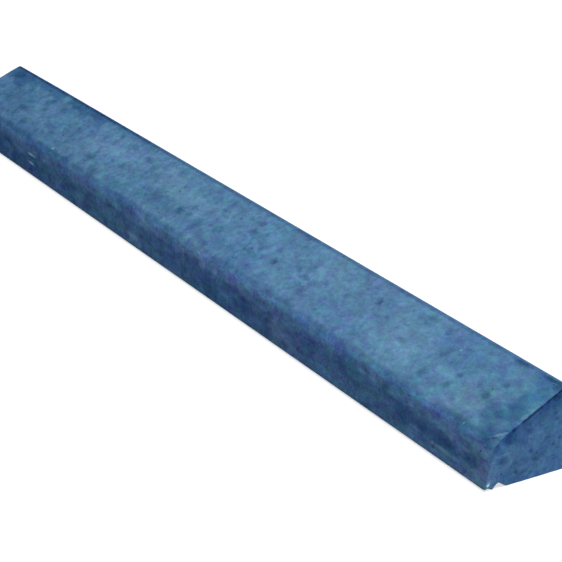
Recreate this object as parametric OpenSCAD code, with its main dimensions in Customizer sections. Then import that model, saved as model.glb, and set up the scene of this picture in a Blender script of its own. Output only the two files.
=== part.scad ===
// Saddleback wall coping: one precast concrete stone that caps a wall about 100 mm thick.
// Its length runs along X and its width along Y. The origin is the middle of its underside.

/* [Stone] */
// Length of the stone
stone_len = 1000; // [300:10:1500]
// Width over the two long faces
stone_w = 150; // [120:5:400]
// Height over the ridge
ridge_h = 85; // [60:1:200]
// Height of each long face, from the underside to the corner where its slope begins
face_h = 45; // [30:1:55]

/* [Arrises] */
// Radius along the ridge
ridge_r = 5; // [2:1:10]
// Radius of the two upper arrises, where the slopes turn down into the long faces
arris_r = 12; // [2:1:16]
// Radius of the two lower arrises, at the foot of the long faces
foot_r = 3; // [1:0.5:5]
// Chamfer all round both ends
end_chamfer = 1; // [0.5:0.5:3]

/* [Drips] */
// Width of the lip between each long face and its drip groove
drip_lip = 8.5; // [7:0.5:20]
// Depth of each groove
drip_depth = 5.8; // [4:0.2:8]
// Radius along the deepest line of each groove
drip_root_r = 2.5; // [1:0.5:3]
// Slope of the groove's wall on the lip's side, in degrees from level
drip_outer_slope = 48; // [40:1:65]
// Slope of the groove's wall on the bed's side, in degrees from level
drip_inner_slope = 30; // [25:1:60]
// Radius where the lip turns up into the groove
drip_lip_r = 1.5; // [0.5:0.5:2.5]
// Radius where the groove runs out into the bed
drip_bed_r = 10; // [1:1:12]

/* [Hidden] */
concrete_blue = [0.33, 0.48, 0.61];
round_fn = 96; // Sides of a full round
overrun = 1; // How far the end envelope stands clear of the surfaces that it leaves alone

half_w = stone_w / 2;
// The slopes start at the upper corners of the long faces and touch the ridge's round.
ridge_round_rise = ridge_h - ridge_r - face_h;
slope = atan2(ridge_round_rise, half_w) + asin(ridge_r / norm([half_w, ridge_round_rise]));
peak_h = face_h + half_w * tan(slope);

// Both walls of a groove touch the round along its deepest line, and so give its width.
function wall_run(wall_slope) =
    (drip_root_r + (drip_depth - drip_root_r) * cos(wall_slope)) / sin(wall_slope);
drip_w = wall_run(drip_outer_slope) + wall_run(drip_inner_slope);
drip_outer_y = half_w - drip_lip;
drip_inner_y = drip_outer_y - drip_w;
// Where the two walls would meet if the groove had no round.
vee_h = drip_w / (1 / tan(drip_outer_slope) + 1 / tan(drip_inner_slope));
vee_y = drip_outer_y - vee_h / tan(drip_outer_slope);

// Sharp corners of one half of the section, from the bed out and up to the arris, each with
// its radius and with -1 for the one hollow corner, whose round is cut out of the stone.
half_corners = [
    [[drip_inner_y, 0], drip_bed_r, 1],
    [[vee_y, vee_h], drip_root_r, -1],
    [[drip_outer_y, 0], drip_lip_r, 1],
    [[half_w, 0], foot_r, 1],
    [[half_w, face_h], arris_r, 1],
];
half_last = len(half_corners) - 1;
// The whole outline, anticlockwise: one half, the ridge, and the other half mirrored.
corners = [
    each half_corners,
    [[0, peak_h], ridge_r, 1],
    for (i = [half_last:-1:0])
        let (corner = half_corners[i]) [[-corner[0].x, corner[0].y], corner[1], corner[2]],
];
last = len(corners) - 1;

function place(i) = corners[i][0];
function radius(i) = corners[i][1];
function unit(v) = v / norm(v);
function to_previous(i) = unit(place(i == 0 ? last : i - 1) - place(i));
function to_next(i) = unit(place(i == last ? 0 : i + 1) - place(i));
function half_angle(i) = acos(to_previous(i) * to_next(i)) / 2;
function round_centre(i) =
    place(i) + unit(to_previous(i) + to_next(i)) * radius(i) / sin(half_angle(i));
function round_start(i) = place(i) + to_previous(i) * radius(i) / tan(half_angle(i));
function round_end(i) = place(i) + to_next(i) * radius(i) / tan(half_angle(i));

// The rounds of all corners of one sort: 1 for outward corners, -1 for hollow ones.
module rounds(sort) {
    for (i = [0:last])
        if (corners[i][2] == sort)
            translate(round_centre(i))
                circle(r = radius(i), $fn = round_fn);
}

// The section of the stone: straight sides between the ends of the rounds, and the rounds.
module section() {
    difference() {
        union() {
            polygon([for (i = [0:last]) each [round_start(i), round_end(i)]]);
            rounds(1);
        }
        rounds(-1);
    }
}

// A bar along X, centred on the origin, of the section that its children draw.
module bar(length) {
    rotate([90, 0, 90])
        linear_extrude(height = length, center = true)
            children();
}

// A body that clears the stone along its length and narrows over both ends, to chamfer them.
module end_envelope() {
    hull() {
        bar(stone_len - 2 * (end_chamfer + overrun))
            offset(delta = overrun)
                section();
        bar(stone_len)
            offset(delta = -end_chamfer)
                section();
    }
}

module coping_stone() {
    color(concrete_blue)
        intersection() {
            bar(stone_len)
                section();
            end_envelope();
        }
}

coping_stone();
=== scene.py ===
import bpy
import math
import random
from mathutils import Euler, Matrix, Vector, kdtree, noise


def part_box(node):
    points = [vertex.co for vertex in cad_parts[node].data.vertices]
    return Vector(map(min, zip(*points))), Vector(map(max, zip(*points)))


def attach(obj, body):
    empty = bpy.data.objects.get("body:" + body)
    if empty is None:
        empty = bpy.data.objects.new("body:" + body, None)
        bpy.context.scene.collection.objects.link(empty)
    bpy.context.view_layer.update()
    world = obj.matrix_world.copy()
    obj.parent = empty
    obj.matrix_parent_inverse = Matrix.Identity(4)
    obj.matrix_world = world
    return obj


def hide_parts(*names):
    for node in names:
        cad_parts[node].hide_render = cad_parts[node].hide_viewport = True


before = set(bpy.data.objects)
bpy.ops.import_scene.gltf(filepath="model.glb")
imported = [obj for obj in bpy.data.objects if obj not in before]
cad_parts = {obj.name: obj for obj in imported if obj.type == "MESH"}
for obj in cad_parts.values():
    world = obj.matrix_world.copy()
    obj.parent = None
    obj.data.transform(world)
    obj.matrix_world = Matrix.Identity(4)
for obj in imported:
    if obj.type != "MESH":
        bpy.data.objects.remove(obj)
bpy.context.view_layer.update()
mm = 0.001
halfLength, halfWidth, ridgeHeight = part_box("coping_stone")[1]
print("frame loaded, stone", round(2 * halfLength, 4), round(2 * halfWidth, 4), round(ridgeHeight, 4))


# Selecting, and applying places and modifiers

def deselectAll():
    if bpy.context.object and bpy.context.object.mode != "OBJECT":
        bpy.ops.object.mode_set(mode="OBJECT")
    bpy.ops.object.select_all(action="DESELECT")


def selectOnly(*objs):
    deselectAll()
    for obj in objs:
        obj.select_set(True)
    bpy.context.view_layer.objects.active = objs[0]


def joinAll(objs, name):
    selectOnly(*objs)
    bpy.ops.object.join()
    joined = bpy.context.object
    joined.name = name
    return joined


def addCube(corner, opposite):    # a box between two corners, with its place in its mesh
    deselectAll()
    middle = [(a + b) / 2 for a, b in zip(corner, opposite)]
    bpy.ops.mesh.primitive_cube_add(size=1, location=middle)
    cube = bpy.context.object
    cube.scale = [b - a for a, b in zip(corner, opposite)]
    bpy.ops.object.transform_apply(location=True, rotation=True, scale=True)
    return cube


def applyModifier(obj, kind, **values):
    modifier = obj.modifiers.new(kind.lower(), kind)
    for name, value in values.items():
        setattr(modifier, name, value)
    selectOnly(obj)
    bpy.ops.object.modifier_apply(modifier=modifier.name)


def cutAway(obj, cutter, solver):
    applyModifier(obj, "BOOLEAN", operation="DIFFERENCE", object=cutter, solver=solver, material_mode="INDEX")
    bpy.data.objects.remove(cutter)


def pickEdges(obj, wanted):    # leaves edit mode on, with only the wanted edges selected
    selectOnly(obj)
    bpy.ops.object.mode_set(mode="EDIT")
    bpy.ops.mesh.select_mode(type="EDGE")
    bpy.ops.mesh.select_all(action="DESELECT")
    bpy.ops.object.mode_set(mode="OBJECT")
    points = obj.data.vertices
    for edge in obj.data.edges:
        a, b = (points[i].co for i in edge.vertices)
        edge.select = wanted(a, b)
    bpy.ops.object.mode_set(mode="EDIT")


closeEnough = 0.05 * mm


def near(a, b):
    return abs(a - b) < closeEnough


def lineAt(y, z):    # picks the edges that run along the stone at a height and a distance from its middle
    return lambda a, b: all(near(abs(p.y), y) and near(p.z, z) for p in (a, b)) and not near(a.x, b.x)


def moveEdges(obj, wanted, step):
    pickEdges(obj, wanted)
    bpy.ops.transform.translate(value=step)
    bpy.ops.object.mode_set(mode="OBJECT")


def roundEdges(obj, radius, turn, wanted, segments):
    pickEdges(obj, wanted)
    bpy.ops.mesh.bevel(offset_type="OFFSET", offset=radius * math.tan(turn / 2), segments=segments,
                       profile=0.5, affect="EDGES", clamp_overlap=False)
    bpy.ops.object.mode_set(mode="OBJECT")


# The stone as it left its mould

stone = {
    "faceHeight": 45 * mm,      # of the long faces, up to the corner where the slopes begin
    "ridgeRadius": 5 * mm,
    "arrisRadius": 12 * mm,
    "footRadius": 3 * mm,
    "endChamfer": 0.3 * mm,     # a small round, because the ends' outline has kept its edge between its chips
    "dripLip": 8.5 * mm,        # from a long face to its drip groove
    "dripDepth": 5.8 * mm,
    "dripRoot": 2.5 * mm,       # radius along the deepest line
    "dripOuterSlope": math.radians(48),    # of the groove's walls, up from the bed
    "dripInnerSlope": math.radians(30),
    "dripLipRadius": 1.5 * mm,
    "dripBedRadius": 10 * mm,
}

faceHeight = stone["faceHeight"]
roundRise = ridgeHeight - stone["ridgeRadius"] - faceHeight
slopeAngle = (math.atan2(roundRise, halfWidth)
              + math.asin(stone["ridgeRadius"] / math.hypot(halfWidth, roundRise)))
peakHeight = faceHeight + halfWidth * math.tan(slopeAngle)


def wallRun(slope):    # how far a groove's wall and its share of the round reach across
    straight = stone["dripDepth"] - stone["dripRoot"]
    return (stone["dripRoot"] + straight * math.cos(slope)) / math.sin(slope)


dripOuter = halfWidth - stone["dripLip"]
dripInner = dripOuter - wallRun(stone["dripOuterSlope"]) - wallRun(stone["dripInnerSlope"])
veeHeight = (dripOuter - dripInner) / (1 / math.tan(stone["dripOuterSlope"])
                                       + 1 / math.tan(stone["dripInnerSlope"]))
veeMiddle = dripOuter - veeHeight / math.tan(stone["dripOuterSlope"])


def buildGrooveBar(side):    # a three-sided bar with its upper edge rounded
    below = 1 * mm
    outer = dripOuter + below / math.tan(stone["dripOuterSlope"])
    inner = dripInner - below / math.tan(stone["dripInnerSlope"])
    past = halfLength + below
    low, high = sorted((side * outer, side * inner))
    bar = addCube((-past, low, -below), (past, high, veeHeight))
    moveEdges(bar, lineAt(outer, veeHeight), (0, side * (veeMiddle - outer), 0))
    moveEdges(bar, lineAt(inner, veeHeight), (0, side * (veeMiddle - inner), 0))
    applyModifier(bar, "WELD", merge_threshold=0.01 * mm)
    roundEdges(bar, stone["dripRoot"], stone["dripOuterSlope"] + stone["dripInnerSlope"],
               lineAt(veeMiddle, veeHeight), segments=8)
    return bar


def buildStone():
    blank = addCube((-halfLength, -halfWidth, 0), (halfLength, halfWidth, faceHeight))
    blank.name = "weathered_coping"
    pickEdges(blank, lambda a, b: near(a.z, faceHeight) and near(b.z, faceHeight) and near(a.x, b.x))
    bpy.ops.mesh.subdivide(number_cuts=1)
    bpy.ops.object.mode_set(mode="OBJECT")
    moveEdges(blank, lineAt(0, faceHeight), (0, 0, peakHeight - faceHeight))
    roundEdges(blank, stone["ridgeRadius"], 2 * slopeAngle, lineAt(0, peakHeight), segments=8)
    roundEdges(blank, stone["arrisRadius"], math.pi / 2 - slopeAngle,
               lineAt(halfWidth, faceHeight), segments=10)
    roundEdges(blank, stone["footRadius"], math.pi / 2, lineAt(halfWidth, 0), segments=6)
    for side in (-1, 1):
        cutAway(blank, buildGrooveBar(side), "EXACT")
    roundEdges(blank, stone["dripLipRadius"], stone["dripOuterSlope"], lineAt(dripOuter, 0), segments=3)
    roundEdges(blank, stone["dripBedRadius"], stone["dripInnerSlope"], lineAt(dripInner, 0), segments=5)
    roundEdges(blank, stone["endChamfer"], math.pi / 2,
               lambda a, b: near(abs(a.x), halfLength) and near(a.x, b.x), segments=2)
    return blank


coping = buildStone()
print("stone as cast", len(coping.data.polygons), "faces")


# Places on the stone

arrisIn = 1.6 * mm    # how far the round of an upper arris keeps it inside the long face


def frontPoint(along, up):    # on the front, by the distance from its foot up over the arris to the ridge
    if up < faceHeight:
        return Vector((along, -halfWidth, up))
    rise = up - faceHeight
    return Vector((along, rise * math.cos(slopeAngle) - halfWidth, faceHeight + rise * math.sin(slopeAngle)))


def roofOver(y):    # height of the slopes' planes
    return peakHeight - abs(y) * math.tan(slopeAngle)


# Soft marks: pits with dirt in them, broad damp patches with painted shade among them, and pale bloom with
# painted light among it

# Marks with a place of their own, in millimetres: along the stone, up the front from its foot,
# half their length, half their width, and strength, which is 1 or more where the middle shows in full
namedPits = [
    (345, 115, 8, 9, 0.50), (370, 118, 8, 8, 0.55), (386, 94, 6, 6, 0.61), (417, 83, 4, 6, 0.55),
    (416, 69, 6, 5, 0.55), (453, 80, 6, 5, 0.88), (458, 99, 5, 4, 0.88), (341, 82, 8, 4, 0.55),
    (387, 66, 6, 9, 0.50), (478, 72, 6, 5, 0.55), (481, 85, 6, 6, 0.50), (433, 60, 6, 4, 0.39),
    (146, 82, 6, 6, 1.00), (193, 84, 8, 5, 0.66), (208, 84, 6, 6, 0.55), (285, 105, 5, 6, 1.00),
    (190, 100, 8, 10, 0.39), (180, 89, 5, 5, 0.50), (205, 70, 10, 9, 0.44), (240, 68, 10, 5, 0.39),
    (251, 92, 5, 5, 0.44), (222, 90, 5, 4, 0.50), (105, 103, 5, 5, 0.55), (262, 60, 8, 6, 0.39),
    (122, 76, 13, 6, 0.50), (147, 126, 8, 5, 0.66), (-17, 73, 9, 8, 1.00), (50, 78, 10, 8, 0.88),
    (22, 73, 10, 8, 0.61), (-5, 87, 4, 6, 0.66), (90, 98, 10, 6, 0.66), (86, 112, 9, 5, 0.55),
    (52, 56, 10, 6, 0.55), (-60, 73, 26, 12, 0.50), (-42, 64, 16, 12, 0.39), (-208, 69, 10, 8, 0.83),
    (-155, 84, 5, 8, 0.66), (-133, 108, 9, 6, 0.77), (-205, 104, 8, 6, 0.55), (-172, 112, 10, 6, 0.55),
    (-180, 56, 16, 9, 0.50), (-250, 98, 12, 8, 0.44), (-335, 105, 10, 6, 0.66), (-362, 92, 8, 6, 0.77),
    (-320, 76, 12, 6, 0.55), (-318, 120, 13, 6, 0.66), (-395, 78, 18, 8, 0.55), (-475, 118, 18, 10, 0.88),
    (490, 42, 8, 6, 0.88), (497, 124, 8, 6, 0.88), (436, 9, 5, 3, 0.88), (452, 126, 12, 4, 0.80),
    (486, 127, 13, 4, 0.88), (-78, 8, 8, 5, 0.66), (497, 44, 9, 8, 0.60), (489, 41, 6, 4, 0.70),
]
endPits = [    # on the near end: across from the front edge, up, half their width and height, strength
    (48, 28, 4, 3, 0.80), (56, 19, 5, 3, 0.90), (34, 11, 3, 2, 1.00), (75, 29, 4, 2, 0.80),
    (72, 54, 4, 3, 0.60), (41, 49, 6, 4, 0.50), (82, 34, 3, 3, 0.90), (54, 6, 4, 3, 0.60),
    (20, 54, 4, 3, 1.00), (13, 46, 6, 5, 0.50), (43, 9, 4, 3, 0.50), (66, 75, 9, 4, 1.00),
    (15, 34, 10, 1, 0.50), (60, 47, 3, 3, 0.40), (33, 38, 1, 4, 0.50), (98, 44, 5, 4, 0.70),
    (118, 25, 4, 4, 0.80), (128, 40, 3, 3, 0.60),
]
# Broad darker patches, partly damp and partly painted shade: the far end's fall-off from the light, and the
# rows 47 mm up along the arris, where it turns from the light
namedDampAndShade = [
    (486, 72, 28, 28, 1.00), (492, 108, 18, 24, 0.85), (-470, 120, 70, 18, 1.30), (-400, 124, 80, 14, 1.25),
    (-290, 125, 70, 12, 1.15), (-430, 85, 80, 40, 0.55), (-340, 105, 60, 30, 0.35), (-350, 60, 90, 14, 0.60),
    (-430, 16, 90, 24, 1.25), (-300, 14, 60, 14, 0.80), (-205, 12, 45, 12, 0.60), (-165, 20, 30, 16, 0.50),
    (-110, 26, 40, 10, 0.40), (10, 20, 60, 12, 0.45), (80, 16, 70, 16, 0.65), (145, 18, 45, 16, 0.85),
    (255, 28, 40, 10, 0.50), (315, 30, 40, 14, 0.50), (410, 20, 45, 8, 0.90), (440, 17, 42, 6, 1.50),
    (-80, 68, 60, 16, 0.40), (-170, 126, 36, 6, 0.80), (70, 60, 40, 14, 0.30), (160, 50, 60, 8, 0.50),
    (-200, 126, 50, 7, 0.75), (-440, 47, 60, 7, 1.10), (-360, 47, 60, 6, 0.90), (-270, 47, 60, 6, 0.80),
    (-180, 47, 60, 6, 0.45), (-90, 47, 60, 6, 0.45), (0, 47, 50, 5, 0.35), (465, 47, 40, 5, 0.60),
    (-130, 57, 50, 8, 0.50), (-400, 3, 130, 5, 0.60), (415, 100, 60, 30, 0.30),
]
# Pale patches, partly bloom and partly painted light: the rows 38 to 49 mm up lighten the arris where it
# turns to the light
namedBloomAndLight = [
    (350, 75, 90, 30, 0.30), (440, 66, 30, 16, 0.35), (230, 110, 60, 22, 0.25), (-70, 98, 60, 18, 0.45),
    (-10, 95, 50, 14, 0.40), (-150, 96, 50, 22, 0.35), (-210, 88, 40, 18, 0.30), (-70, 12, 11, 8, 0.60),
    (-190, 14, 9, 10, 0.40), (210, 14, 40, 10, 0.55), (492, 22, 24, 30, 0.85), (220, 49, 12, 3, 0.40),
    (415, 48, 14, 3, 0.45), (62, 40, 60, 9, 0.80), (5, 44, 20, 5, 0.60), (150, 42, 60, 8, 0.50),
    (-215, 40, 40, 8, 0.35), (-40, 38, 40, 7, 0.35),
]

scatter = {
    "seed": 11,
    "slope": 210,               # pits on each slope
    "farther": -0.6,            # where they are thickest, as a share of half the length
    "face": 60,                 # on each long face
    "end": 40,
    "bed": 90,
    "endGap": 6 * mm,           # kept free along the stone by each end
    "upSlope": (54 * mm, 124 * mm),     # up the front from its foot
    "upFace": (4 * mm, 36 * mm),
    "upEnd": 9 * mm,
    "underSlope": 6 * mm,       # kept free on the ends, under the slopes
    "sideGap": 8 * mm,          # and by the long faces
    "smallest": 1.5 * mm,       # reach
    "largest": 6.5 * mm,
    "crowding": 1.7,            # the higher, the more of them are small
    "stretch": (0.8, 1.5),
    "strength": (0.15, 0.6),
    "depth": 0.5 * mm,          # of the strongest pits
}


def scatteredPits():
    dice = random.Random(scatter["seed"])
    run = halfLength - scatter["endGap"]
    across = halfWidth - scatter["sideGap"]
    places = []
    for side in (-1, 1):
        for n in range(scatter["slope"]):
            along = dice.triangular(-run, run, scatter["farther"] * run)
            spot = frontPoint(along, dice.uniform(*scatter["upSlope"]))
            places.append((spot.x, side * spot.y, spot.z))
        for n in range(scatter["face"]):
            places.append((dice.uniform(-run, run), side * halfWidth, dice.uniform(*scatter["upFace"])))
        for n in range(scatter["end"]):
            y = dice.uniform(-across, across)
            z = dice.uniform(scatter["upEnd"], roofOver(y) - scatter["underSlope"])
            places.append((side * halfLength, y, z))
    for n in range(scatter["bed"]):
        places.append((dice.uniform(-run, run), dice.uniform(-dripInner, dripInner), 0))
    spread = scatter["largest"] / scatter["smallest"]
    marks = []
    for place in places:
        reach = scatter["smallest"] * spread ** (dice.random() ** scatter["crowding"])
        length = reach * dice.uniform(*scatter["stretch"])
        marks.append((Vector(place), length, reach, dice.uniform(*scatter["strength"])))
    return marks


def namedMarks(entries):
    return [(frontPoint(along * mm, up * mm), length * mm, width * mm, strength)
            for along, up, length, width, strength in entries]


def endMarks(entries):
    return [(Vector((halfLength, across * mm - halfWidth, up * mm)), width * mm, height * mm, strength)
            for across, up, width, height, strength in entries]


tornReach = 1.4    # how far a torn outline may run, as a share of its mark's reach


def markedPoints(obj, marks, ragged, grit):    # per point, how strongly the marks that reach it show
    points = obj.data.vertices
    tree = kdtree.KDTree(len(points))
    for point in points:
        tree.insert(point.co, point.index)
    tree.balance()
    values = [0.0] * len(points)
    for place, length, width, strength in marks:
        onEnd = near(abs(place.x), halfLength)
        for co, index, distance in tree.find_range(place, tornReach * max(length, width)):
            along = co.y - place.y if onEnd else co.x - place.x
            across = math.sqrt(max(0, distance ** 2 - along ** 2))
            away = math.hypot(along / length, across / width) * (1 + ragged * noise.noise(co / grit))
            if away < 1:
                values[index] = max(values[index], strength * (1 - away * away))
    return values


pits = namedMarks(namedPits) + scatteredPits() + endMarks(endPits)
softMarks = {    # each kind with how far its outlines are torn, and the size of the tears
    "dirt": {"marks": pits, "ragged": 0.45, "grit": 3 * mm},
    "dampAndShade": {"marks": namedMarks(namedDampAndShade), "ragged": 1.2, "grit": 14 * mm},
    "bloomAndLight": {"marks": namedMarks(namedBloomAndLight), "ragged": 1.2, "grit": 12 * mm},
}


# Weathering of the whole surface

wear = {
    "gridDepth": 10,            # halvings of the length that give the grid of the weathered surface, 1 mm
    "gridShare": 0.99,          # of the grid's length that the stone takes up
    "arrisUp": 0.6 * mm,        # where the arris wears most, above the corner of face and slope
    "arrisReach": 6.5 * mm,
    "ridgeReach": 5 * mm,
    "outlineReach": 1.8 * mm,   # from the outline of the ends
    "footReach": 3 * mm,
    "footShare": 0.3,           # of the wear on that outline
    "lightest": 0.01,           # weight below which a point stays where it is
}


def bell(distance, reach):
    return math.exp(-(distance / reach) ** 2)


def everywhere(co):
    return 1


def nearArris(co):
    away = math.hypot(abs(co.y) - (halfWidth - arrisIn), co.z - (faceHeight + wear["arrisUp"]))
    return bell(away, wear["arrisReach"])


def nearRidge(co):
    return bell(math.hypot(co.y, co.z - ridgeHeight), wear["ridgeReach"])


def nearEdges(co):    # the outline of the nearer end, and the feet
    toSlope = (roofOver(co.y) - co.z) * math.cos(slopeAngle)
    toSide = min(toSlope, halfWidth - abs(co.y), co.z)
    fromOutline = math.hypot(halfLength - abs(co.x), max(toSide, 0))
    fromFoot = math.hypot(abs(co.y) - halfWidth, co.z)
    footWear = wear["footShare"] * bell(fromFoot, wear["footReach"])
    return min(1, bell(fromOutline, wear["outlineReach"]) + footWear)


# Layers of wear: the most that they take away, the size of their clouds, octaves, contrast, and place
layers = {
    "swell": {"depth": 0.10 * mm, "size": 90 * mm, "octaves": 1, "contrast": 1, "weightOf": everywhere},
    "arrisWear": {"depth": 0.5 * mm, "size": 38 * mm, "octaves": 3, "contrast": 1.6, "weightOf": nearArris},
    "ridgeWear": {"depth": 0.05 * mm, "size": 30 * mm, "octaves": 2, "contrast": 1.5, "weightOf": nearRidge},
    "edgeWear": {"depth": 0.22 * mm, "size": 8 * mm, "octaves": 3, "contrast": 2.2, "weightOf": nearEdges},
    "grain": {"depth": 0.09 * mm, "size": 4 * mm, "octaves": 3, "contrast": 1.5, "weightOf": everywhere},
}


def pushIn(obj, name, depth, weights, **pattern):    # moves the surface inwards, by a weight for each point
    group = obj.vertex_groups.new(name=name)
    for index, weight in enumerate(weights):
        if weight > wear["lightest"]:
            group.add([index], weight, "REPLACE")
    applyModifier(obj, "DISPLACE", direction="NORMAL", strength=depth, vertex_group=name, **pattern)
    obj.vertex_groups.remove(obj.vertex_groups[name])


def roughen(obj, name, depth, size, octaves, contrast, weightOf):    # broken up by clouds of a size
    texture = bpy.data.textures.new(name, "CLOUDS")
    texture.noise_scale = size
    texture.noise_depth = octaves
    texture.contrast = contrast
    weights = [weightOf(point.co) for point in obj.data.vertices]
    pushIn(obj, name, depth, weights, texture=texture, texture_coords="LOCAL", mid_level=1)


def weather(obj):
    applyModifier(obj, "REMESH", mode="SHARP", octree_depth=wear["gridDepth"], scale=wear["gridShare"],
                  sharpness=1, use_remove_disconnected=False, use_smooth_shade=True)
    print("remeshed", len(obj.data.polygons), "faces")
    for name, layer in layers.items():
        roughen(obj, name, **layer)
    pushIn(obj, "pits", -scatter["depth"], markedPoints(obj, **softMarks["dirt"]), mid_level=0)


# Node helpers

def feed(tree, socket, value):    # links an output, or sets a plain value
    if isinstance(value, bpy.types.NodeSocket):
        tree.links.new(value, socket)
    else:
        socket.default_value = value


def addNode(tree, kind, settings, inputs):
    node = tree.nodes.new("ShaderNode" + kind)
    for name, value in settings.items():
        setattr(node, name, value)
    for name, value in inputs.items():
        feed(tree, node.inputs[name], value)
    return node


def calc(tree, operation, *values):
    return addNode(tree, "Math", {"operation": operation}, dict(enumerate(values))).outputs[0]


def vectorCalc(tree, operation, *values):
    node = addNode(tree, "VectorMath", {"operation": operation}, dict(enumerate(values)))
    return node.outputs["Value" if operation == "LENGTH" else "Vector"]


def between(tree, share, low, high):    # goes from low to high as the share goes from 0 to 1
    return calc(tree, "MULTIPLY_ADD", share, high - low, low)


def ramp(tree, value, start, end):    # smoothly from 0 at start to 1 at end
    node = addNode(tree, "MapRange", {"interpolation_type": "SMOOTHSTEP"},
                   {"Value": value, "From Min": start, "From Max": end})
    return node.outputs["Result"]


def cloudy(tree, vector, scale, detail, roughness=0.5):    # a cloudy pattern, as "Fac" or "Color"
    inputs = {"Vector": vector, "Scale": scale, "Detail": detail, "Roughness": roughness}
    return addNode(tree, "TexNoise", {}, inputs).outputs


def blend(tree, mode, factor, under, over):
    node = addNode(tree, "Mix", {"data_type": "RGBA", "blend_type": mode}, {0: factor, 6: under, 7: over})
    return node.outputs[2]


def useGroup(tree, group, inputs):
    node = tree.nodes.new("ShaderNodeGroup")
    node.node_tree = group
    for name, value in inputs.items():
        feed(tree, node.inputs[name], value)
    return node.outputs[0]


def newGroup(name, inputs, output):    # inputs and output give each socket's name and kind
    group = bpy.data.node_groups.new(name, "ShaderNodeTree")
    for label, kind in inputs.items():
        group.interface.new_socket(label, in_out="INPUT", socket_type="NodeSocket" + kind)
    label, kind = output
    group.interface.new_socket(label, in_out="OUTPUT", socket_type="NodeSocket" + kind)
    given = group.nodes.new("NodeGroupInput").outputs
    result = group.nodes.new("NodeGroupOutput").inputs[0]
    return group, given, result


# Effects that the concrete materials share

def buildDrift():    # lets a colour wander in hue, saturation and value
    tree, given, result = newGroup(
        "drift",
        {"Color": "Color", "Vector": "Vector", "Scale": "Float", "Detail": "Float",
         "Hue": "Float", "Saturation": "Float", "Value": "Float"},
        ("Color", "Color"))
    clouds = cloudy(tree, given["Vector"], given["Scale"], given["Detail"], 0.6)
    channels = addNode(tree, "SeparateColor", {}, {"Color": clouds["Color"]}).outputs

    def swing(channel, amount, middle):
        return calc(tree, "MULTIPLY_ADD", calc(tree, "SUBTRACT", channel, 0.5), amount, middle)

    shift = addNode(tree, "HueSaturation", {}, {
        "Hue": swing(channels["Red"], given["Hue"], 0.5),
        "Saturation": swing(channels["Green"], given["Saturation"], 1),
        "Value": swing(channels["Blue"], given["Value"], 1),
        "Color": given["Color"]})
    feed(tree, result, shift.outputs["Color"])
    return tree


def buildClumps():    # a broken-up mask, 0 below Low and 1 above High
    tree, given, result = newGroup(
        "clumps",
        {"Vector": "Vector", "Scale": "Float", "Low": "Float", "High": "Float"},
        ("Mask", "Float"))
    clouds = cloudy(tree, given["Vector"], given["Scale"], 3, 0.6)
    feed(tree, result, ramp(tree, clouds["Fac"], given["Low"], given["High"]))
    return tree


def buildSpots():    # soft-edged spots of mixed sizes, in a share of the cells
    tree, given, result = newGroup(
        "spots",
        {"Vector": "Vector", "Scale": "Float", "Share": "Float", "Radius": "Float"},
        ("Mask", "Float"))
    clouds = cloudy(tree, given["Vector"], 260, 1)
    centred = vectorCalc(tree, "SUBTRACT", clouds["Color"], (0.5, 0.5, 0.5))
    pushed = vectorCalc(tree, "MULTIPLY_ADD", centred, (4 * mm, 4 * mm, 4 * mm), given["Vector"])
    cells = addNode(tree, "TexVoronoi", {}, {"Vector": pushed, "Scale": given["Scale"]})
    drawn = addNode(tree, "SeparateColor", {}, {"Color": cells.outputs["Color"]}).outputs
    size = calc(tree, "MULTIPLY", given["Radius"], between(tree, drawn["Green"], 0.3, 1))
    spot = ramp(tree, cells.outputs["Distance"], size, calc(tree, "MULTIPLY", size, 0.35))
    chosen = calc(tree, "LESS_THAN", drawn["Red"], given["Share"])
    strength = calc(tree, "MULTIPLY", chosen, between(tree, drawn["Blue"], 0.4, 1))
    feed(tree, result, calc(tree, "MULTIPLY", spot, strength))
    return tree


def buildPatch():    # one ragged patch: 1 at its centre, 0 past its reach along each axis
    tree, given, result = newGroup(
        "patch",
        {"Vector": "Vector", "Centre": "Vector", "Reach": "Vector", "Ragged": "Float"},
        ("Mask", "Float"))
    offset = vectorCalc(tree, "SUBTRACT", given["Vector"], given["Centre"])
    away = vectorCalc(tree, "LENGTH", vectorCalc(tree, "DIVIDE", offset, given["Reach"]))
    clouds = cloudy(tree, given["Vector"], 220, 3, 0.65)
    torn = calc(tree, "MULTIPLY_ADD", calc(tree, "SUBTRACT", clouds["Fac"], 0.5), given["Ragged"], away)
    feed(tree, result, ramp(tree, torn, 1, 0.3))
    return tree


def buildSand():    # height of the cement skin: sand grains and pinholes
    tree, given, result = newGroup(
        "sand",
        {"Vector": "Vector", "Coarse": "Float", "Pinholes": "Float"},
        ("Height", "Float"))
    fine = cloudy(tree, given["Vector"], 900, 2, 0.6)
    coarse = cloudy(tree, given["Vector"], 240, 2)
    grains = calc(tree, "MULTIPLY_ADD", coarse["Fac"], given["Coarse"], fine["Fac"])
    pinholes = useGroup(tree, spots, {"Vector": given["Vector"], "Scale": 150, "Share": 0.35, "Radius": 0.26})
    feed(tree, result, calc(tree, "SUBTRACT", grains, calc(tree, "MULTIPLY", pinholes, given["Pinholes"])))
    return tree


drift = buildDrift()
clumps = buildClumps()
spots = buildSpots()
patch = buildPatch()
sand = buildSand()


def newMaterial(name):
    material = bpy.data.materials.new(name)
    material.use_nodes = True
    tree = material.node_tree
    position = addNode(tree, "TexCoord", {}, {}).outputs["Object"]
    return material, tree, tree.nodes["Principled BSDF"], position


def drifted(tree, colour, vector, values):
    scale, detail, hue, saturation, value = values
    return useGroup(tree, drift, {"Color": colour, "Vector": vector, "Scale": scale, "Detail": detail,
                                  "Hue": hue, "Saturation": saturation, "Value": value})


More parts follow.
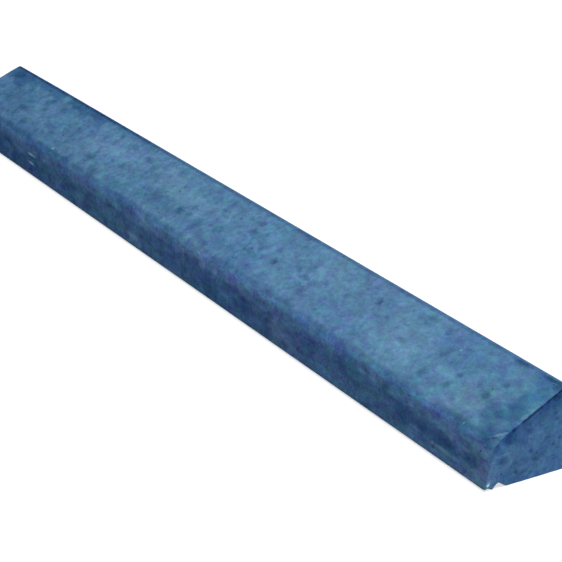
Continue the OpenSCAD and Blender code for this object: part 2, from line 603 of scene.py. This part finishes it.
def tinted(tree, colour, tint, *masks):    # multiplies the colour by the tint where all the masks are 1
    share = masks[0]
    for mask in masks[1:]:
        share = calc(tree, "MULTIPLY", share, mask)
    return blend(tree, "MULTIPLY", share, colour, tint)


def pointMask(tree, name, strength):    # a mask kept on the mesh's points
    kept = addNode(tree, "Attribute", {"attribute_name": name}, {}).outputs["Fac"]
    return calc(tree, "MULTIPLY", kept, strength)


def finishMaterial(tree, shader, look, colour, roughness, height):
    bump = addNode(tree, "Bump", {}, {"Strength": 1, "Distance": look["relief"], "Height": height})
    feed(tree, shader.inputs["Base Color"], colour)
    feed(tree, shader.inputs["Roughness"], roughness)
    feed(tree, shader.inputs["Normal"], bump.outputs["Normal"])
    shader.inputs["Specular IOR Level"].default_value = look["specular"]


# The cast faces: blue-grey cement skin with dirt in its pits, damp, bloom and scuffs, with painted shade
# colour on the long faces and ends, painted shade on the arris, crown and far end, painted light on the
# arris, and a dark line inside the ends' outline

# A drift is given as its scale and detail, and how far it swings hue, saturation and value
cast = {
    "colour": (0.0895, 0.2065, 0.3580, 1),
    "drifts": [
        (11, 2, 0.04, 0.15, 0.36),
        (62, 3, 0.08, 0.15, 0.80),
        (190, 2, 0.12, 0.10, 0.60),
        (800, 1, 0.06, 0.10, 0.42),
    ],
    "streaks": (120, 5, 0.14, 0.15, 1.20),  # a drift along the long faces, left by the side of the mould
    "streakScale": 0.3,                     # along the stone, so that it is drawn out
    "speckle": (420, 3, 0.14, 0.15, 0.50),  # a finer one that lies over it
    "faceShadeTint": (1.17, 1.17, 1.38, 1),      # painted shade colour: the long faces are bluer, as faces in shade under skylight
    "lowTint": (0.79, 0.80, 0.81, 1),       # and darker below
    # painted shade colour: the ends are bluer, as faces in shade under skylight
    "endShadeTint": (0.93, 1.02, 1.23, 1),
    "endTopTint": (0.72, 0.76, 0.90, 1),
    "pitDirt": (0.38, 0.47, 0.57, 1),       # the next five multiply the colour where they are strongest
    # damp with painted shade, bloom with painted light, then painted shade on the arris and on the crown
    "dampAndShade": (0.50, 0.64, 0.76, 1),
    "bloomAndLight": (1.60, 1.35, 1.22, 1),
    "arrisShade": (0.75, 0.84, 0.85, 1),
    "crownShade": (0.30, 0.36, 0.48, 1),
    "outlineDarkLine": (0.024, 0.055, 0.160, 1),    # and these two cover it
    "scuff": (0.27, 0.51, 0.70, 1),
    "lowWander": 16 * mm,                   # how far the darker band's upper limit wanders
    "arrisWander": 10 * mm,
    "crownAlong": (0.7, 1.2),               # strength of the crown's painted shade in the near half and the far one
    "crownFine": (0.55, 0.90),              # and outside and inside its clumps
    "markStrength": (0.4, 1.6),             # of damp and bloom with their painted shade and light, by coarse clouds
    "dirtStrength": (0.6, 1.1),             # outside and inside fine clumps
    "roughness": (0.80, 0.94),
    "relief": 0.3 * mm,
    "specular": 0.02,
}

# Where each mask of the cast faces begins, and where it is full
bands = {
    "endFace": (halfLength - 1.0 * mm, halfLength - 0.5 * mm),    # from the middle of the length
    "longFace": (halfWidth - 4 * mm, halfWidth - 0.8 * mm),       # from the ridge
    "lowFace": (33 * mm, 27 * mm),                                # up from the bed
    "endTop": (26 * mm, 5 * mm),                                  # under the slopes
    "arrisHeight": (33 * mm, 37 * mm),                            # up from the bed
    "arrisBelow": (38 * mm, 42 * mm),                             # up the face and on over the slope
    "arrisAbove": (54 * mm, 46 * mm),
    "crown": (4.8 * mm, 1.4 * mm),                                # from the ridge
    "crownHeight": (ridgeHeight - 6 * mm, ridgeHeight - 3 * mm),
    "farHalf": (0, -260 * mm),                                    # along the stone
    "outline": (3.8 * mm, 1.2 * mm),                              # under the slopes
    "outlineTop": (62 * mm, 46 * mm),                             # from the ridge
}

# Pale scuffs with a place of their own: centre, reach along each axis, and strength
scuffs = [
    {"at": (-0.313, -0.075, 0.0265), "reach": (0.012, 0.004, 0.0022), "strength": 1.00},
    {"at": (-0.310, -0.075, 0.0160), "reach": (0.010, 0.004, 0.0020), "strength": 0.90},
    {"at": (-0.271, -0.071, 0.0490), "reach": (0.005, 0.004, 0.0030), "strength": 0.60},
    {"at": (-0.067, -0.075, 0.0110), "reach": (0.016, 0.004, 0.0050), "strength": 0.30},
    {"at": (0.445, -0.075, 0.0115), "reach": (0.022, 0.004, 0.0030), "strength": 0.38},
    {"at": (0.412, -0.075, 0.0140), "reach": (0.014, 0.004, 0.0026), "strength": 0.14},
    {"at": (0.396, -0.0215, 0.0742), "reach": (0.002, 0.002, 0.0020), "strength": 0.50},
    {"at": (0.497, -0.0420, 0.0635), "reach": (0.0028, 0.005, 0.005), "strength": 0.20},
    {"at": (0.4905, -0.0715, 0.0468), "reach": (0.006, 0.0016, 0.0016), "strength": 0.25},
]


def layScuffs(tree, position, colour):
    for entry in scuffs:
        mask = useGroup(tree, patch, {"Vector": position, "Centre": entry["at"], "Reach": entry["reach"],
                                      "Ragged": 1.6})
        colour = blend(tree, "MIX", calc(tree, "MULTIPLY", mask, entry["strength"]), colour, cast["scuff"])
    return colour


def surveyStone(tree, position):    # where a point lies, as distances and masks that the layers share
    axes = addNode(tree, "SeparateXYZ", {}, {0: position}).outputs
    fromMiddle = calc(tree, "ABSOLUTE", axes["X"])
    fromRidge = calc(tree, "ABSOLUTE", axes["Y"])
    endFace = ramp(tree, fromMiddle, *bands["endFace"])
    longFace = ramp(tree, fromRidge, *bands["longFace"])
    roof = calc(tree, "MULTIPLY_ADD", fromRidge, -math.tan(slopeAngle), peakHeight)
    return {
        "along": axes["X"],
        "height": axes["Z"],
        "fromRidge": fromRidge,
        "underSlope": calc(tree, "MULTIPLY", calc(tree, "SUBTRACT", roof, axes["Z"]), math.cos(slopeAngle)),
        "endFace": endFace,
        "longFace": calc(tree, "MULTIPLY", longFace, calc(tree, "SUBTRACT", 1, endFace)),
        "coarse": cloudy(tree, position, 55, 4, 0.65)["Fac"],
        "fine": useGroup(tree, clumps, {"Vector": position, "Scale": 210, "Low": 0.3, "High": 0.6}),
    }


def layDrifts(tree, position, at):
    colour = cast["colour"]
    for values in cast["drifts"]:
        colour = drifted(tree, colour, position, values)
    stretched = addNode(tree, "Mapping", {}, {"Vector": position, "Scale": (cast["streakScale"], 1, 1)})
    streaked = drifted(tree, colour, stretched.outputs[0], cast["streaks"])
    streaked = drifted(tree, streaked, position, cast["speckle"])
    return blend(tree, "MIX", at["longFace"], colour, streaked)


# painted shade colour: the long faces and ends are bluer; the long faces are also darker below, and the ends
# under the slopes
def layTints(tree, at, colour):
    colour = tinted(tree, colour, cast["faceShadeTint"], at["longFace"])
    wander = calc(tree, "MULTIPLY_ADD", at["coarse"], cast["lowWander"], -cast["lowWander"] / 2)
    low = ramp(tree, calc(tree, "ADD", at["height"], wander), *bands["lowFace"])
    colour = tinted(tree, colour, cast["lowTint"], at["longFace"], low)
    colour = tinted(tree, colour, cast["endShadeTint"], at["endFace"])
    high = ramp(tree, at["underSlope"], *bands["endTop"])
    return tinted(tree, colour, cast["endTopTint"], at["endFace"], high)


# painted shade: a darker band round the upper arris, where the rounded edge turns from the light
def layArrisShade(tree, at, colour):
    fromFace = calc(tree, "SUBTRACT", halfWidth, at["fromRidge"])
    up = calc(tree, "MULTIPLY_ADD", fromFace, 1 / math.cos(slopeAngle),
              calc(tree, "MINIMUM", at["height"], faceHeight))
    up = calc(tree, "MULTIPLY_ADD", at["coarse"], cast["arrisWander"],
              calc(tree, "SUBTRACT", up, cast["arrisWander"] / 2))
    rise = calc(tree, "MULTIPLY", ramp(tree, up, *bands["arrisBelow"]),
                ramp(tree, at["height"], *bands["arrisHeight"]))
    return tinted(tree, colour, cast["arrisShade"], rise, ramp(tree, up, *bands["arrisAbove"]))


# painted shade along the ridge's crown, where it turns from the light, stronger on the far half
def layCrownShade(tree, at, colour):
    crown = calc(tree, "MULTIPLY", ramp(tree, at["fromRidge"], *bands["crown"]),
                 ramp(tree, at["height"], *bands["crownHeight"]))
    farther = between(tree, ramp(tree, at["along"], *bands["farHalf"]), *cast["crownAlong"])
    crown = calc(tree, "MULTIPLY", crown, farther)
    return tinted(tree, colour, cast["crownShade"], crown, between(tree, at["fine"], *cast["crownFine"]))


def layOutlineDarkLine(tree, position, at, colour):    # a thin broken dark line inside the upper outline of the ends
    torn = useGroup(tree, clumps, {"Vector": position, "Scale": 110, "Low": 0.26, "High": 0.5})
    torn = calc(tree, "MULTIPLY", torn, ramp(tree, at["fromRidge"], *bands["outlineTop"]))
    line = calc(tree, "MULTIPLY", ramp(tree, at["underSlope"], *bands["outline"]), at["endFace"])
    return blend(tree, "MIX", calc(tree, "MULTIPLY", line, torn), colour, cast["outlineDarkLine"])


def layMarks(tree, at, colour):    # the marks kept on the mesh: damp with painted shade, bloom with painted light, and dirt in the pits
    uneven = between(tree, at["coarse"], *cast["markStrength"])
    colour = tinted(tree, colour, cast["dampAndShade"], pointMask(tree, "dampAndShade", uneven))
    colour = tinted(tree, colour, cast["bloomAndLight"], pointMask(tree, "bloomAndLight", uneven))
    gritty = between(tree, at["fine"], *cast["dirtStrength"])
    return tinted(tree, colour, cast["pitDirt"], pointMask(tree, "dirt", gritty))


def castConcrete():
    material, tree, shader, position = newMaterial("castConcrete")
    at = surveyStone(tree, position)
    colour = layDrifts(tree, position, at)
    colour = layTints(tree, at, colour)
    colour = layArrisShade(tree, at, colour)
    colour = layCrownShade(tree, at, colour)
    colour = layOutlineDarkLine(tree, position, at, colour)
    colour = layMarks(tree, at, colour)
    colour = layScuffs(tree, position, colour)
    patchy = useGroup(tree, clumps, {"Vector": position, "Scale": 30, "Low": 0.35, "High": 0.65})
    roughness = between(tree, patchy, *cast["roughness"])
    skin = useGroup(tree, sand, {"Vector": position, "Coarse": 1.2, "Pinholes": 1})
    finishMaterial(tree, shader, cast, colour, roughness, skin)
    return material


# Broken faces: paler, with grains of sand and small stones showing

broken = {
    "colour": (0.12, 0.255, 0.38, 1),
    "drift": (260, 3, 0.06, 0.20, 0.90),
    "stoneColour": (0.09, 0.18, 0.29, 1),
    "dirt": (0.30, 0.38, 0.50, 1),
    "fresh": (0.42, 0.70, 0.86, 1),         # of the newest chip, at the foot of a corner
    "freshPlace": (0.4990, -0.0720, 0.0070),
    "freshReach": (0.006, 0.0042, 0.0070),
    "roughness": 0.92,
    "relief": 0.6 * mm,
    "specular": 0.1,
}


def brokenConcrete():
    material, tree, shader, position = newMaterial("brokenConcrete")
    colour = drifted(tree, broken["colour"], position, broken["drift"])
    stones = useGroup(tree, spots, {"Vector": position, "Scale": 330, "Share": 0.5, "Radius": 0.5})
    colour = blend(tree, "MIX", stones, colour, broken["stoneColour"])
    colour = tinted(tree, colour, broken["dirt"], pointMask(tree, "dirt", 1))
    fresh = useGroup(tree, patch, {"Vector": position, "Centre": broken["freshPlace"],
                                   "Reach": broken["freshReach"], "Ragged": 0.4})
    colour = blend(tree, "MIX", fresh, colour, broken["fresh"])
    skin = useGroup(tree, sand, {"Vector": position, "Coarse": 3, "Pinholes": 1})
    finishMaterial(tree, shader, broken, colour, broken["roughness"], skin)
    return material


# Insides of the air holes: darker, with dirt caught in them

pore = {
    "colour": (0.048, 0.105, 0.200, 1),
    "drift": (140, 2, 0.10, 0.40, 1.20),
    "roughness": 0.9,
    "relief": 0.3 * mm,
    "specular": 0.1,
}


def poreConcrete():
    material, tree, shader, position = newMaterial("poreConcrete")
    colour = drifted(tree, pore["colour"], position, pore["drift"])
    skin = useGroup(tree, sand, {"Vector": position, "Coarse": 1.5, "Pinholes": 0.5})
    finishMaterial(tree, shader, pore, colour, pore["roughness"], skin)
    return material


castFinish = castConcrete()
brokenFinish = brokenConcrete()
poreFinish = poreConcrete()
finishes = [castFinish, brokenFinish, poreFinish]
coping.data.materials.clear()
for finish in finishes:
    coping.data.materials.append(finish)
print("materials", len(finishes))


# Chips and air holes, cut by rough lumps

def makeBall(subdivisions):
    deselectAll()
    bpy.ops.mesh.primitive_ico_sphere_add(subdivisions=subdivisions, radius=1)
    ball = bpy.context.object
    for material in finishes:
        ball.data.materials.append(material)
    return ball


def copyBall(ball, place, turn, reach, finish):    # with its place in its mesh
    lump = ball.copy()
    lump.data = ball.data.copy()
    bpy.context.collection.objects.link(lump)
    lump.data.transform(Matrix.LocRotScale(place, turn, Vector(reach)))
    for face in lump.data.polygons:
        face.material_index = finishes.index(finish)
    return lump


lumpGap = 1 * mm


def clearOf(taken, place, reach):    # remembers the place if nothing taken is too close to it
    if any((place - other).length < reach + otherReach + lumpGap for other, otherReach in taken):
        return False
    taken.append((place, reach))
    return True


chips = {
    "seed": 5,
    "count": 64,
    "odds": {"foot": 3, "arris": 1, "endSide": 2, "endSlope": 2, "lip": 3},
    "footUp": 1 * mm,           # height on a foot
    "upSide": (6 * mm, faceHeight - 8 * mm),       # heights on the upright edges of the ends
    "fromRidge": (8 * mm, halfWidth - 10 * mm),    # places on their sloping edges
    "smallest": 1.2 * mm,       # radius
    "largest": 5.0 * mm,
    "crowding": 2.2,            # the higher, the more of them are small
    "stretch": (1, 2.2),
    "pale": 3.5 * mm,           # radius up to which a chip has the colour of the skin again
    "bite": (0.12, 0.38),       # share of a lump's radius that is inside the stone
    "roughness": 1.1 * mm,
    "grain": 3.5 * mm,          # size of the bumps that make the lumps rough
}

# Chips with a place of their own: centre of the lump, its reach, its turn in degrees, first about Z
# and then about X, and what its hollow is finished in
namedChips = [
    {"at": (0.5000, -0.0806, 0.0542), "reach": (0.0220, 0.0140, 0.0140), "turn": (0, 0),
     "finish": castFinish},
    {"at": (0.4947, -0.0661, 0.0499), "reach": (0.0082, 0.0017, 0.0012), "turn": (28, 59),
     "finish": brokenFinish},
    {"at": (0.5016, -0.0720, 0.0076), "reach": (0.0034, 0.0022, 0.0040), "turn": (-18, 0),
     "finish": brokenFinish},
    {"at": (0.5020, -0.0712, -0.0030), "reach": (0.0080, 0.0064, 0.0062), "turn": (0, 0),
     "finish": brokenFinish},
    {"at": (0.5008, -0.0415, 0.0636), "reach": (0.0022, 0.0026, 0.0010), "turn": (28, 0),
     "finish": castFinish},
    {"at": (-0.498, 0.0740, 0.0480), "reach": (0.0100, 0.0060, 0.0040), "turn": (-30, 10),
     "finish": brokenFinish},
]


def edgePlaces(dice):    # points along the edges that get knocked, each with its way out of the stone
    while True:
        along = dice.uniform(-halfLength, halfLength)
        side = dice.choice((-1, 1))
        end = dice.choice((-1, 1))
        kind = dice.choices(list(chips["odds"]), chips["odds"].values())[0]
        if kind == "foot":
            yield Vector((along, side * halfWidth, chips["footUp"])), Vector((0, side, -0.8))
        elif kind == "arris":
            yield Vector((along, side * (halfWidth - arrisIn), faceHeight)), Vector((0, side, 0.9))
        elif kind == "endSide":
            height = dice.uniform(*chips["upSide"])
            yield Vector((end * halfLength, side * halfWidth, height)), Vector((end, side, 0))
        elif kind == "endSlope":
            y = side * dice.uniform(*chips["fromRidge"])
            yield Vector((end * halfLength, y, roofOver(y))), Vector((end, 0, 0.9))
        else:
            yield Vector((along, side * dripOuter, 0)), Vector((0, -side, -1))


def buildChips(taken):
    dice = random.Random(chips["seed"])
    fineBall = makeBall(subdivisions=4)
    ball = makeBall(subdivisions=3)
    lumps = []
    for entry in namedChips:
        place = Vector(entry["at"])
        tilt, spin = (math.radians(angle) for angle in entry["turn"])
        turn = Euler((tilt, 0, spin), "ZYX")
        taken.append((place, max(entry["reach"])))
        lumps.append(copyBall(fineBall, place, turn, entry["reach"], entry["finish"]))
    spread = chips["largest"] / chips["smallest"]
    for place, out in edgePlaces(dice):
        if len(lumps) == chips["count"]:
            break
        radius = chips["smallest"] * spread ** (dice.random() ** chips["crowding"])
        length = dice.uniform(*chips["stretch"])
        bite = dice.uniform(*chips["bite"])
        centre = place + out.normalized() * radius * (1 - bite)
        if clearOf(taken, centre, radius * length):
            turn = out.to_track_quat("Z", "X")
            finish = brokenFinish if radius > chips["pale"] else castFinish
            lumps.append(copyBall(ball, centre, turn, (radius * length, radius, radius), finish))
    for spent in (fineBall, ball):
        bpy.data.objects.remove(spent)
    cutter = joinAll(lumps, "chip_cutter")
    texture = bpy.data.textures.new("fracture", "CLOUDS")
    texture.noise_scale = chips["grain"]
    texture.noise_depth = 3
    applyModifier(cutter, "DISPLACE", texture=texture, texture_coords="LOCAL", direction="NORMAL",
                  mid_level=0.5, strength=chips["roughness"])
    print("chips", len(lumps))
    return cutter


holes = {
    "seed": 11,
    "slope": 26,                # on each slope
    "face": 18,
    "end": 9,
    "bed": 60,
    "endGap": 7 * mm,           # kept free along the stone by each end
    "upSlope": (56 * mm, 124 * mm),     # up the front from its foot
    "upFace": (5 * mm, faceHeight - 9 * mm),
    "upEnd": 9 * mm,
    "underSlope": 7 * mm,       # kept free on the ends, under the slopes
    "sideGap": 6 * mm,          # and by the long faces
    "grooveGap": 5 * mm,
    "smallest": 0.5 * mm,       # radius
    "largest": 1.3 * mm,
    "crowding": 1.6,            # the higher, the more of them are small
    "stretch": (0.8, 1.3),
    "depth": (0.5, 0.9),        # as a share of the radius
    "spare": 1.3,               # room round a hole, as a share of its radius
    "sink": 0.2,                # in millimetres, because the surface wears back that far
}


def facePlaces(dice):    # points on all the faces, each with its way out of the stone
    run = halfLength - holes["endGap"]
    across = halfWidth - holes["sideGap"]
    bed = dripInner - holes["grooveGap"]
    for side in (-1, 1):
        for n in range(holes["slope"]):
            spot = frontPoint(dice.uniform(-run, run), dice.uniform(*holes["upSlope"]))
            out = Vector((0, side * math.sin(slopeAngle), math.cos(slopeAngle)))
            yield Vector((spot.x, -side * spot.y, spot.z)), out
        for n in range(holes["face"]):
            place = Vector((dice.uniform(-run, run), side * halfWidth, dice.uniform(*holes["upFace"])))
            yield place, Vector((0, side, 0))
        for n in range(holes["end"]):
            y = dice.uniform(-across, across)
            z = dice.uniform(holes["upEnd"], roofOver(y) - holes["underSlope"])
            yield Vector((side * halfLength, y, z)), Vector((side, 0, 0))
    for n in range(holes["bed"]):
        y = dice.uniform(-bed, bed)
        yield Vector((dice.uniform(-run, run), y, 0)), Vector((0, 0, -1))


def buildHoles(taken):
    dice = random.Random(holes["seed"])
    ball = makeBall(subdivisions=2)
    balls = []
    spread = holes["largest"] / holes["smallest"]
    for place, out in facePlaces(dice):
        radius = holes["smallest"] * spread ** (dice.random() ** holes["crowding"])
        stretch = dice.uniform(*holes["stretch"])
        depth = radius * dice.uniform(*holes["depth"])
        turn = out.to_track_quat("Z", "Y") @ Euler((0, 0, dice.uniform(0, math.pi))).to_quaternion()
        if clearOf(taken, place, holes["spare"] * radius):
            sunk = place - out * holes["sink"] * mm
            balls.append(copyBall(ball, sunk, turn, (radius * stretch, radius / stretch, depth), poreFinish))
    bpy.data.objects.remove(ball)
    print("air holes", len(balls))
    return joinAll(balls, "hole_cutter")


thinned = {
    "triangles": 170000,
    "smoothAngle": math.radians(38),
}


def trimFins(obj):    # triangles that thinning leaves hanging on the surface by one edge
    selectOnly(obj)
    bpy.ops.object.mode_set(mode="EDIT")
    bpy.ops.mesh.select_mode(type="EDGE")
    bpy.ops.mesh.select_non_manifold(extend=False, use_wire=True, use_boundary=True, use_multi_face=False,
                                     use_non_contiguous=False, use_verts=False)
    bpy.ops.mesh.delete(type="EDGE")
    bpy.ops.object.mode_set(mode="OBJECT")


def keepInside(obj):    # no point may pass the faces that the stone was cast with
    for point in obj.data.vertices:
        point.co.x = max(-halfLength, min(halfLength, point.co.x))
        point.co.y = max(-halfWidth, min(halfWidth, point.co.y))
        point.co.z = max(0, min(ridgeHeight, point.co.z))


taken = []
cutter = joinAll([buildChips(taken), buildHoles(taken)], "cutter")
weather(coping)
print("weathered", len(coping.data.polygons), "faces")
cutAway(coping, cutter, "MANIFOLD")
coping.data.calc_loop_triangles()
before = len(coping.data.loop_triangles)
applyModifier(coping, "DECIMATE", ratio=min(1, thinned["triangles"] / before))
trimFins(coping)
keepInside(coping)
selectOnly(coping)
bpy.ops.object.shade_smooth_by_angle(angle=thinned["smoothAngle"])
print("chipped and thinned,", before, "triangles to", len(coping.data.polygons), "faces")


for name, kind in softMarks.items():
    kept = coping.data.attributes.new(name, "FLOAT", "POINT")
    kept.data.foreach_set("value", markedPoints(coping, **kind))
    print("marks", name, len(kind["marks"]))

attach(coping, "root")
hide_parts("coping_stone")


# Floor, light and camera

studio = {
    "floorSize": 16,
    "floorColour": 0.45,
    "glowNear": 0.66,           # of the floor to the camera, so that it shows white but for the shadow
    "glowFar": 1.0,
    "glowEdge": (0.7, 1.6),     # how far out the one gives way to the other
    "keyPlace": (1.35, 0.0, 4.0),
    "keySize": 1.4,
    "keyPower": 160,
    "ambient": 0.24,
}


def seenShare(tree):    # 1 for what the camera sees, also in a mirror or through glass
    path = addNode(tree, "LightPath", {}, {}).outputs
    seen = calc(tree, "MAXIMUM", path["Is Camera Ray"], path["Is Glossy Ray"])
    return calc(tree, "MAXIMUM", seen, path["Is Transmission Ray"])


def buildFloor():
    deselectAll()
    bpy.ops.mesh.primitive_plane_add(size=studio["floorSize"])
    floor = bpy.context.object
    floor.name = "floor"
    material, tree, shader, position = newMaterial("paleFloor")
    shade = studio["floorColour"]
    shader.inputs["Base Color"].default_value = (shade, shade, shade, 1)
    shader.inputs["Roughness"].default_value = 0.9
    shader.inputs["Specular IOR Level"].default_value = 0.1
    far = ramp(tree, vectorCalc(tree, "LENGTH", position), *studio["glowEdge"])
    strength = between(tree, far, studio["glowNear"], studio["glowFar"])
    glow = addNode(tree, "Emission", {}, {"Strength": calc(tree, "MULTIPLY", seenShare(tree), strength)})
    both = addNode(tree, "AddShader", {}, {0: shader.outputs[0], 1: glow.outputs[0]})
    feed(tree, tree.nodes["Material Output"].inputs["Surface"], both.outputs[0])
    floor.data.materials.append(material)


def buildLight():
    bpy.ops.object.light_add(type="AREA", location=studio["keyPlace"])
    key = bpy.context.object
    key.name = "key"
    key.data.size = studio["keySize"]
    key.data.energy = studio["keyPower"]
    key.rotation_euler = Vector(studio["keyPlace"]).to_track_quat("Z", "Y").to_euler()
    world = bpy.data.worlds.new("studio")
    world.use_nodes = True
    bpy.context.scene.world = world
    tree = world.node_tree
    soft = tree.nodes["Background"]
    soft.inputs["Color"].default_value = (1, 1, 1, 1)
    soft.inputs["Strength"].default_value = studio["ambient"]
    white = addNode(tree, "Background", {}, {"Color": (1, 1, 1, 1), "Strength": 1})
    mix = addNode(tree, "MixShader", {}, {0: seenShare(tree), 1: soft.outputs[0], 2: white.outputs[0]})
    feed(tree, tree.nodes["World Output"].inputs["Surface"], mix.outputs[0])


view = {
    "place": (1.1505, -0.8682, 0.5659),
    "heading": 50.144,          # degrees, from +Y towards -X
    "tilt": 21.941,             # degrees below level
    "roll": 8.452,
    "lens": 88.80,              # this and the sensor's width are in millimetres
    "sensor": 36,
}


def buildCamera():
    bpy.ops.object.camera_add(location=view["place"])
    camera = bpy.context.object
    level = Euler((math.radians(90 - view["tilt"]), 0, math.radians(view["heading"]))).to_matrix()
    camera.rotation_euler = (level @ Matrix.Rotation(math.radians(view["roll"]), 3, "Z")).to_euler()
    camera.data.lens = view["lens"]
    camera.data.sensor_width = view["sensor"]
    bpy.context.scene.camera = camera


buildFloor()
buildLight()
buildCamera()
bpy.context.scene.view_settings.view_transform = "Standard"
print("stage ready")
